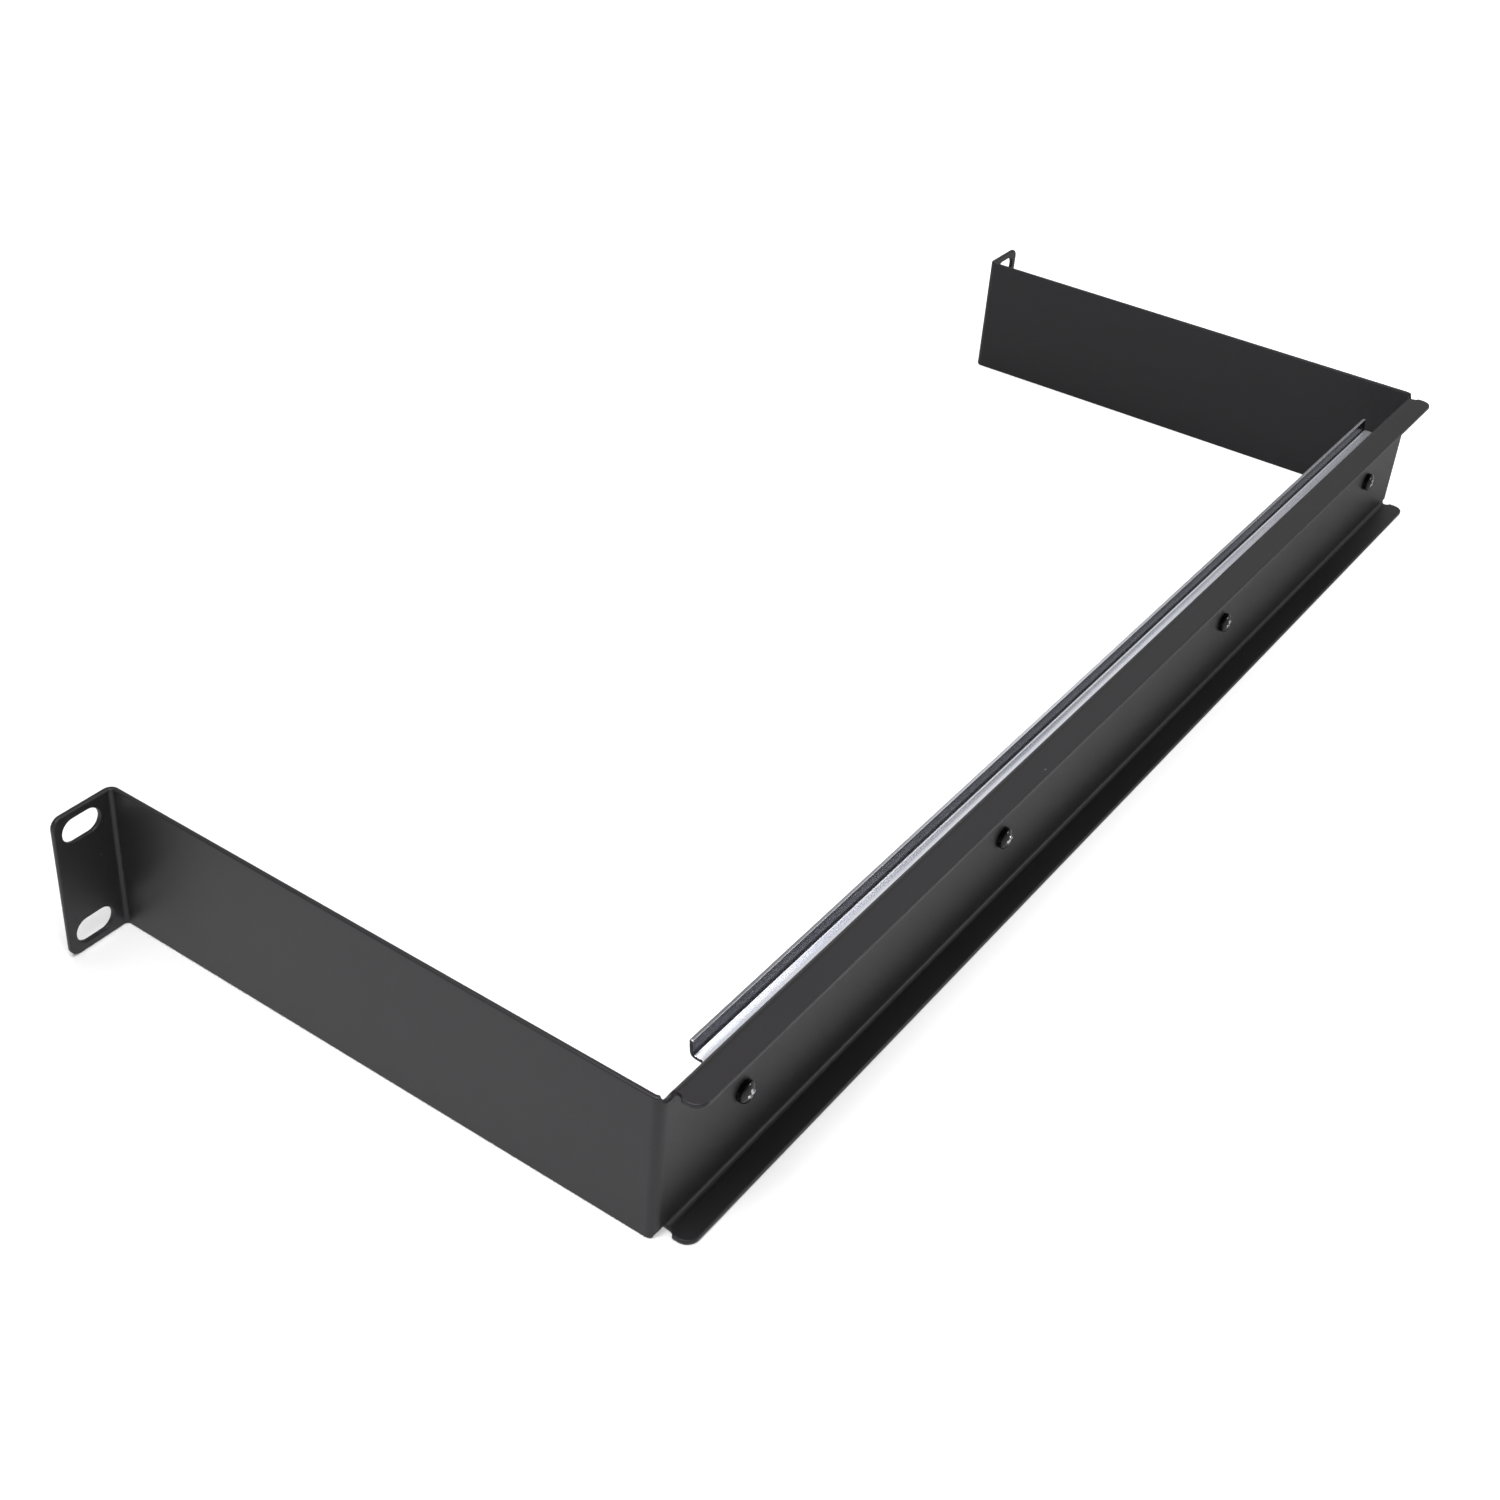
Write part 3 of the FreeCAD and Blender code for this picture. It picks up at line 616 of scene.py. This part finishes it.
# %% [markdown]
# The rail is bright zinc plate on rolled strip. Rolls leave fine lines along the strip, so the metal's
# roughness and bump read a noise that is stretched along the rail. The plate's clear skin gives it a faint
# blue cast that comes and goes. A brushed look by anisotropy alone would lack the single lines.

# %% Zinc plate
zinc_tones = ((0.58, 0.60, 0.67, 1), (0.72, 0.72, 0.75, 1))
zinc_line = 0.5 * mm
zinc_line_height = 0.01 * mm
zinc_line_strength = 0.06
zinc_line_detail = 1.0
zinc_line_share = 0.3
zinc_cloud = 14 * mm
zinc_cloud_share = 0.7
roll_stretch = (160.0, 1.0, 1.0)


def zinc_finish(name, stretch, smooth, rough):
    material, tree, shader, where = start_material(name)
    lines = noise(tree, where, zinc_line, zinc_line_detail, stretch)
    cloud = noise(tree, where, zinc_cloud)
    tint = mix_colours(tree, cloud * zinc_cloud_share + lines * zinc_line_share, *zinc_tones)
    link(tree, shader, Base_Color=tint, Roughness=smooth + lines * (rough - smooth))
    shader.inputs["Metallic"].default_value = 1.0
    bump(tree, shader, lines, zinc_line_height, zinc_line_strength)
    return material


rolled_zinc = zinc_finish("rolled_zinc", roll_stretch, smooth=0.14, rough=0.30)
turned_zinc = zinc_finish("turned_zinc", no_stretch, smooth=0.20, rough=0.38)
print(rolled_zinc.name, "and", turned_zinc.name, "are made")

# %% [markdown]
# The rail starts as a flat strip too, with its row of slots. Its lips fold first and its walls last, just
# as the bracket's ears go before its arms. Rolled lips spring back a few degrees, so they lean away from
# the web and mirror it, which a true right angle would not. The same two trees serve both pieces.

# %% Rail
rail_gauge = 1.0 * mm
rail_radius = 0.8 * mm + rail_gauge / 2
rail_bend = rail_radius * right_angle
channel_width = 27.0 * mm
lip_corner = 0.4 * mm
lip_corner_steps = 6
strip_round = 0.12 * mm
spring_back = math.radians(5)
slot_pitch = 20.0 * mm
slot_size = (15.0 * mm, 6.2 * mm)
base_layer = rail_high.y - rail_gauge / 2
lip_layer = rail_low.y + rail_gauge / 2
wall_layer = channel_width / 2 - rail_gauge / 2
wall_line = wall_layer - rail_radius
lip_line = wall_line + rail_bend + base_layer - lip_layer - 2 * rail_radius
strip_edge = lip_line + rail_bend + rail_high.z - wall_layer - rail_radius
strip_corner = (rail_high.x - lip_corner, strip_edge - lip_corner)
strip = four_quarters(arc(strip_corner, lip_corner, 90, 0, lip_corner_steps))
rail_row = {
    "Slots": round(2 * rail_high.x / slot_pitch),
    "Slot pitch": slot_pitch,
    "Slot length": slot_size[0],
    "Slot width": slot_size[1],
}
rail_turn = {"Middle radius": rail_radius, "Upwards": True}
rail_folds = [
    {**rail_turn, "Line": lip_line, "Towards": 1.0, "Angle": right_angle - spring_back},
    {**rail_turn, "Line": wall_line, "Towards": -1.0, "Angle": right_angle},
]
rail = fold_piece(
    "top_hat_rail", [strip], rail_row, rail_gauge, strip_round, base_layer, rail_folds, rolled_zinc
)
hand_over(rail, "din_rail", "rail_zinc")

# %% [markdown]
# The fasteners are turned parts, so each is a profile spun round its own axis, which is Y here, as a lathe
# makes it. What isn't round is then pushed in along the radius by a rule: the thread sinks by a helix, and
# the nut's six flats cut into its chamfered round. Booleans could cut both, but would leave ragged faces.

# %% Helper for turned parts
turn_steps = 48
sharp_from = math.radians(35)


def turned(name, profile, rule=None):
    """A mesh spun round Y from (radius, height) points, with a rule that gives each point's own radius."""
    part = bmesh.new()
    points = [part.verts.new((radius, height, 0)) for radius, height in profile]
    edges = [part.edges.new(pair) for pair in zip(points, points[1:])]
    bmesh.ops.spin(
        part,
        geom=points + edges,
        axis=(0, 1, 0),
        angle=2 * math.pi,
        steps=turn_steps,
        use_merge=True,
    )
    bmesh.ops.remove_doubles(part, verts=part.verts[:], dist=hair)
    for point in part.verts if rule else []:
        radius = math.hypot(point.co.x, point.co.z)
        if radius > hair:
            scale = rule(radius, math.atan2(point.co.z, point.co.x), point.co.y) / radius
            point.co.x *= scale
            point.co.z *= scale
    bmesh.ops.recalc_face_normals(part, faces=part.faces[:])
    mesh = bpy.data.meshes.new(name)
    part.to_mesh(mesh)
    part.free()
    mesh.shade_smooth()
    mesh.set_sharp_from_angle(angle=sharp_from)
    return mesh


print("a round is turned in", turn_steps, "steps")

# %% [markdown]
# Screws, washers and nuts each come four times, at the same four places and turned at random, as they stop
# when they are tight. A third tree sets one part at those places. Copies made one by one would do, but then
# the places would be written three times.

# %% A tree that sets fasteners
fastener_count = 4


def fasteners_tree():
    tree, size = open_tree("set_fasteners", {
        "Inner reach": "NodeSocketFloat",
        "Outer reach": "NodeSocketFloat",
        "Seat": "NodeSocketFloat",
        "Seed": "NodeSocketInt",
    })
    add = partial(Wire.node, tree)
    # Points 0 and 1 are the inner pair, 2 and 3 the outer pair, and in each pair the left one comes first
    index = add("GeometryNodeInputIndex")
    side = index.math("MODULO", index, 2) * 2 - 1
    outer = index > 1
    reach = size["Inner reach"] + outer * (size["Outer reach"] - size["Inner reach"])
    place = add("ShaderNodeCombineXYZ", sockets={"X": side * reach, "Y": size["Seat"]})
    points = add("GeometryNodePoints", sockets={"Count": fastener_count, "Position": place})
    angle = add("FunctionNodeRandomValue", {"data_type": "FLOAT"}, {
        "Max_001": 2 * math.pi,
        "Seed": size["Seed"],
    }, output=1)
    turn = add("ShaderNodeCombineXYZ", sockets={"Y": angle})
    placed = add("GeometryNodeInstanceOnPoints", sockets={
        "Points": points,
        "Instance": size["Geometry"],
        "Rotation": turn,
    })
    close_tree(tree, placed, size["Material"])
    return tree


set_fasteners = fasteners_tree()


def set_in_place(name, mesh, seat, seed, material):
    piece = new_piece(name, mesh)
    put_tree(piece, set_fasteners, {
        "Inner reach": inner_screw,
        "Outer reach": outer_screw,
        "Seat": seat,
        "Seed": seed,
        "Material": material,
    })
    settle(piece)
    return piece


print(set_fasteners.name, "has", len(set_fasteners.nodes), "nodes")

# %% [markdown]
# The screws are black and much glossier than the coat: a thin dark plating on steel that takes a sharp
# highlight, a little duller in patches where it was handled. In the cross the driver has rubbed it off, so
# bare steel glints there. The mesh says where, by an attribute on its faces: a mask painted by place would
# have to know where each screw is and how it is turned.

# %% Black plating
plating_tones = ((0.006, 0.006, 0.007, 1), (0.010, 0.010, 0.011, 1))
plating_index = 1.34
plating_roughness = 0.08
plating_patch = 1.5 * mm
plating_detail = 3.0
plating_height = 0.01 * mm
plating_strength = 0.15
worn_roughness = 0.10
rubbed_roughness = 0.05
bare_steel = (0.88, 0.88, 0.89, 1)


def black_plate_finish():
    material, tree, shader, where = start_material("black_plating")
    wear = noise(tree, where, plating_patch, plating_detail)
    rubbed = Wire.node(tree, "ShaderNodeAttribute", {"attribute_name": "rubbed"}, output="Fac")
    skin = mix_colours(tree, rubbed, mix_colours(tree, wear, *plating_tones), bare_steel)
    roughness = plating_roughness + wear * worn_roughness + rubbed * rubbed_roughness
    link(tree, shader, Base_Color=skin, Roughness=roughness, Metallic=rubbed)
    shader.inputs["IOR"].default_value = plating_index
    bump(tree, shader, wear, plating_height, plating_strength)
    return material


black_plating = black_plate_finish()
print(black_plating.name, "has", len(black_plating.node_tree.nodes), "nodes")

# %% [markdown]
# A screw is a low domed head on a shank with a real thread. The dome is an arc through the head's rim and
# top. A bump could fake the thread from afar, but the shank's end shows its outline from the front.

# %% Body of a screw
web_rear = rail_high.y + gauge
head_height = 2.4 * mm
head_side = 1.4 * mm
thread_radius = 1.5 * mm
thread_pitch = 0.5 * mm
thread_depth = 0.27 * mm
rings_per_pitch = 8
dome_steps = 12
shank_length = web_rear - screws_low.y
shank_tip = 0.4 * mm
head_rim = 0.12 * mm
dome_rise = head_height - head_side
dome_radius = (head_radius ** 2 + dome_rise ** 2) / (2 * dome_rise)


def thread_rule(radius, angle, height):
    if height > -hair or radius < thread_radius - hair:
        return radius
    phase = (height / thread_pitch + angle / (2 * math.pi)) % 1.0
    return radius - thread_depth * abs(2 * phase - 1)


def screw_profile():
    threaded = shank_length - shank_tip
    rings = round(threaded / thread_pitch * rings_per_pitch)
    tip = [(0, -shank_length), (thread_radius - shank_tip, -shank_length)]
    shank = [(thread_radius, -threaded * (1 - k / rings)) for k in range(rings + 1)]
    side = [(head_radius - head_rim, 0), (head_radius, head_rim), (head_radius, head_side - head_rim)]
    edge = math.degrees(math.acos(head_radius / dome_radius))
    dome = arc((0, head_height - dome_radius), dome_radius, edge, 90, dome_steps)
    return tip + shank + side + dome[1:]


screw_body = turned("one_screw", screw_profile(), thread_rule)
print("a screw's body has", len(screw_body.polygons), "faces")

# %% [markdown]
# The driver's cross is pressed into the head by a tapered punch. Here a cutter of that shape is taken out of
# the head by a boolean, because the cross's edges have to be crisp. Its faces are then marked as rubbed.

# %% The driver's cross
recess_span = 3.2 * mm
recess_width = 0.9 * mm
recess_depth = 1.3 * mm
recess_foot = 0.55
recess_mouth = 1.05
recess_skin = 0.05 * mm
above_head = 0.2 * mm


def cross_cutter():
    """A tapered cross that stands in the head's recess and reaches above the head."""
    long = recess_span / 2
    short = recess_width / 2
    ring = []
    for cosine, sine in ((1, 0), (0, 1), (-1, 0), (0, -1)):
        for x, z in ((long, -short), (long, short), (short, short)):
            ring.append((x * cosine - z * sine, x * sine + z * cosine))
    cutter = bmesh.new()
    rows = []
    levels = ((head_height - recess_depth, recess_foot), (head_height + above_head, recess_mouth))
    for height, scale in levels:
        rows.append([cutter.verts.new((x * scale, height, z * scale)) for x, z in ring])
    for k in range(len(ring)):
        after = (k + 1) % len(ring)
        cutter.faces.new((rows[0][k], rows[0][after], rows[1][after], rows[1][k]))
    cutter.faces.new(rows[0])
    cutter.faces.new(rows[1])
    bmesh.ops.recalc_face_normals(cutter, faces=cutter.faces[:])
    mesh = bpy.data.meshes.new("cross_cutter")
    cutter.to_mesh(mesh)
    cutter.free()
    return mesh


def mark_recess(part):
    """Marks the faces of a bmesh that lie in the cross, below the dome."""
    rubbed = part.faces.layers.float.new("rubbed")
    for face in part.faces:
        middle = face.calc_center_median()
        radius = min(math.hypot(middle.x, middle.z), head_radius)
        dome_height = head_height - dome_radius + math.sqrt(dome_radius ** 2 - radius ** 2)
        within = radius < recess_mouth * recess_span / 2 and middle.y > hair
        face[rubbed] = float(within and dome_height - middle.y > recess_skin)


cutter = new_piece("cross_cutter", cross_cutter())
print(cutter.name, "has", len(cutter.data.polygons), "faces")

# %% [markdown]
# One screw is cut, cleaned of the slivers that a boolean can leave, and set four times. The cutter and the
# single screw go away again. Cutting all four in place would need a cutter turned with each of them.

# %% Screws
screw_seed = 1
screw = new_piece("one_screw", screw_body)
recess = screw.modifiers.new("recess", "BOOLEAN")
recess.object = cutter
recess.solver = "EXACT"
screw_mesh = settle(screw)
cleaned = bmesh.new()
cleaned.from_mesh(screw_mesh)
drop_slivers(cleaned)
mark_recess(cleaned)
cleaned.to_mesh(screw_mesh)
cleaned.free()
screw_mesh.set_sharp_from_angle(angle=sharp_from)
bpy.data.objects.remove(cutter)
bpy.data.objects.remove(screw)
screws = set_in_place("black_screws", screw_mesh, web_rear, screw_seed, black_plating)
hand_over(screws, "rail_screws", "screw_black")

# %% [markdown]
# In the rail's channel sit a plain washer and a hexagon nut for each screw. They show from the front of
# the rack. A real nut is a hexagon whose corners are turned off to a cone on both faces: the rule gives
# each point the smaller of the cone's radius and the flats' distance. A bevel on a six-sided prism would
# break its edges evenly, without the curved lines that a cone leaves on the flats.

# %% Washers and nuts
washers_low, washers_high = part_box("rail_washers")
nuts_low, nuts_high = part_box("rail_nuts")
washer_radius = washers_high.x - outer_screw
washer_bore = 1.6 * mm
washer_break = 0.08 * mm
washer_seed = 5
nut_flat = 2.75 * mm
sixth_turn = math.pi / 3
nut_corner = nut_flat / math.cos(sixth_turn / 2)
nut_face_share = 0.96
nut_face = nut_flat * nut_face_share
nut_cone = math.radians(30)
nut_cone_steps = 6
nut_bore = 1.55 * mm
nut_sink = 0.2 * mm
nut_seed = 8


def washer_profile(bore, radius, height, edge):
    """A closed section with broken edges, from the bore's foot round the outside and back."""
    return [
        (bore + edge, 0),
        (radius - edge, 0),
        (radius, edge),
        (radius, height - edge),
        (radius - edge, height),
        (bore + edge, height),
        (bore, height - edge),
        (bore, edge),
        (bore + edge, 0),
    ]


def nut_rule(radius, angle, height):
    off_flat = (angle + sixth_turn / 2) % sixth_turn - sixth_turn / 2
    return min(radius, nut_flat / math.cos(off_flat))


def nut_profile(height):
    spread = nut_corner - nut_face
    drop = spread * math.tan(nut_cone)
    shares = [k / nut_cone_steps for k in range(nut_cone_steps + 1)]
    cone = [(nut_face + spread * share, drop * share) for share in shares]
    outside = cone + [(radius, height - rise) for radius, rise in reversed(cone)]
    sunk = nut_bore + nut_sink
    bore = [(sunk, height), (nut_bore, height - nut_sink), (nut_bore, nut_sink), (sunk, 0)]
    return outside + bore + outside[:1]


washer_section = washer_profile(washer_bore, washer_radius, washers_high.y - washers_low.y, washer_break)
washer_mesh = turned("washer", washer_section)
washers = set_in_place("plain_washers", washer_mesh, washers_low.y, washer_seed, turned_zinc)
hand_over(washers, "rail_washers", "fastener_zinc")
nut_mesh = turned("nut", nut_profile(nuts_high.y - nuts_low.y), nut_rule)
nuts = set_in_place("hex_nuts", nut_mesh, nuts_low.y, nut_seed, turned_zinc)
hand_over(nuts, "rail_nuts", "fastener_zinc")

# %% [markdown]
# The stage is a white paper floor. The paper is a plain diffuse white, with a glow that only the camera, a
# see-through surface or a reflection sees, so the background comes out white while the lamps stay at a plain
# level. This glow is painted light. At the near ear the glow is weak, so the soft shadow at its foot stays.
# It rises towards the far side, behind the web and outwards, where the lamps alone would leave the paper
# grey; behind the web it washes out the object's cast shadow. The weaker glow that reflections see is
# brighter towards +X, the near side, which paints a brighter reflection on the near arm and web. Brighter
# lamps would whiten the paper too, but would wash out the black coat.

# %% Paper floor
floor_half = 6.0
floor_gap = 0.05 * mm
paper_tone = (0.80, 0.80, 0.80, 1)
glow_reach = 0.30
seen_middle = 0.36
seen_slope = -0.9
behind_gain = 1.0
outer_start = 0.33
outer_gain = 2.0
mirrored_middle = 0.10
mirrored_slope = 0.45
mirrored_limit = 0.20


def paper_glow(tree):
    """Glow for rays from the camera or through glass, and a weaker one for reflections, both by place."""
    add = partial(Wire.node, tree)
    place = add("ShaderNodeTexCoord", output="Object")
    x, y = (add("ShaderNodeSeparateXYZ", sockets={"Vector": place}, output=axis) for axis in "XY")
    distance = add("ShaderNodeVectorMath", {"operation": "LENGTH"}, {"Vector": place}, output="Value")
    across = x.most(-glow_reach).least(glow_reach)
    behind = y.most(0.0).least(glow_reach)
    outwards = (distance - outer_start).most(0.0) * outer_gain
    # painted light: where the seen glow rises, it washes out the object's cast shadow on the paper
    seen = (seen_middle + across * seen_slope + behind * behind_gain + outwards).least(1.0)
    # painted reflection: the glow that reflections see is brighter towards +X, the near side
    mirrored = (mirrored_middle + across * mirrored_slope).most(0.0).least(mirrored_limit)
    rays = ("Is Camera Ray", "Is Transmission Ray", "Is Glossy Ray")
    direct, through, glossy = (add("ShaderNodeLightPath", output=ray) for ray in rays)
    return direct.most(through) * seen + glossy * mirrored


def paper_finish():
    material = bpy.data.materials.new("paper_floor")
    material.use_nodes = True
    tree = material.node_tree
    tree.nodes.clear()
    glow = paper_glow(tree)
    paper = Wire.node(tree, "ShaderNodeBsdfDiffuse", sockets={"Color": paper_tone})
    light = Wire.node(tree, "ShaderNodeEmission", sockets={"Strength": glow})
    both = Wire.node(tree, "ShaderNodeAddShader", sockets={0: paper, 1: light})
    Wire.node(tree, "ShaderNodeOutputMaterial", sockets={"Surface": both})
    return material


floor_level = cad_box[0].z - floor_gap
floor_mesh = bpy.data.meshes.new("floor")
turns = ((-1, -1), (1, -1), (1, 1), (-1, 1))
corners = [(x * floor_half, y * floor_half, floor_level) for x, y in turns]
floor_mesh.from_pydata(corners, [], [(0, 1, 2, 3)])
floor_mesh.materials.append(paper_finish())
floor = new_piece("floor", floor_mesh)
print("the floor is at", round(floor_level / mm, 2), "mm")

# %% [markdown]
# The studio has white walls that fall off to a dim ceiling: a black coat has hardly any colour, so what it
# mirrors gives it its form. A world of one even tone would leave the sheet flat, and a picture of a studio
# would be one more file.

# %% Studio walls
def studio_world(wall_top, ceiling_start, ceiling):
    """White walls up to wall_top, falling to the ceiling's tone, but white all over for the camera itself.

    Heights are a direction's upward part.
    """
    world = bpy.data.worlds.new("studio")
    world.use_nodes = True
    tree = world.node_tree
    direction = Wire.node(tree, "ShaderNodeTexCoord", output="Generated")
    height = Wire.node(tree, "ShaderNodeSeparateXYZ", sockets={"Vector": direction}, output="Z")
    fall = ((height - wall_top) / (ceiling_start - wall_top)).most(0.0).least(1.0)
    seen = Wire.node(tree, "ShaderNodeLightPath", output="Is Camera Ray")
    background = tree.nodes["Background"]
    background.inputs["Color"].default_value = (1, 1, 1, 1)
    link(tree, background, Strength=(1.0 - fall * (1.0 - ceiling)).most(seen))
    return world


bpy.context.scene.world = studio_world(wall_top=0.03, ceiling_start=0.30, ceiling=0.20)
print(bpy.context.scene.world.name, "is the world")

# %% [markdown]
# Six soft boxes do the rest. The key box hangs high over the ears, so the soft shadow falls towards the
# web's rear. The near box brightens the paper round the near corner, which the arm and the web mirror.
# The left box lies along the top flange and the rail as a broad grey sheen. The other three are there for
# what they leave on glossy or rounded shapes: the small glint box whitens the rail's near end, the right
# box stands low behind the web and dots the screws' heads and the bends, and the weak far box lifts the
# rail's far half out of the dark. A few large lamps alone would light as well, but draw no edges.

# %% Lamps
def soft_box(name, place, size, watts):
    light = bpy.data.lights.new(name, "AREA")
    light.shape = "SQUARE"
    light.size = size
    light.energy = watts
    lamp = bpy.data.objects.new(name, light)
    lamp.location = place
    lamp.visible_camera = False
    lamp.rotation_euler = Vector(place).to_track_quat("Z", "Y").to_euler()
    bpy.context.scene.collection.objects.link(lamp)
    print(name, "gives", watts, "W")


soft_box("key_box", place=(0.10, -0.45, 1.75), size=1.0, watts=8.0)
soft_box("near_box", place=(0.34, 0.14, 0.45), size=0.3, watts=2.4)
soft_box("left_box", place=(-1.12, -0.085, 1.275), size=1.2, watts=4.3)
soft_box("glint_box", place=(-0.725, 0.524, 1.14), size=0.26, watts=1.0)
soft_box("right_box", place=(-0.89, 1.52, 0.40), size=0.40, watts=6.0)
soft_box("far_box", place=(-1.20, 0.465, 0.516), size=0.6, watts=0.25)

# %% [markdown]
# The camera stands where the photograph's camera stood, worked out from the bracket's straight edges. It
# is tilted a little about its own axis, and its shift moves the frame, as a crop of a photograph does. A
# constraint that aims at the bracket would be simpler to set up, but would lose the tilt and the crop.

# %% Camera
azimuth = math.radians(124.07)
elevation = math.radians(34.585)
roll = math.radians(3.594)
back = Vector((
    math.sin(azimuth) * math.cos(elevation),
    -math.cos(azimuth) * math.cos(elevation),
    math.sin(elevation),
))
view = bpy.data.cameras.new("view")
view.lens = 50.75
view.sensor_width = 36.0
view.shift_x = 0.0392
view.shift_y = -0.0317
view.clip_start = 0.01
camera = bpy.data.objects.new("camera", view)
camera.location = (485.6 * mm, 349.2 * mm, 343.4 * mm)
camera.rotation_euler = (back.to_track_quat("Z", "Y") @ Quaternion((0, 0, 1), roll)).to_euler()
bpy.context.scene.collection.objects.link(camera)
bpy.context.scene.camera = camera
bpy.context.scene.view_settings.view_transform = "Standard"
print("the camera is", round(camera.location.length, 3), "m from the frame's origin")

# %% [markdown]
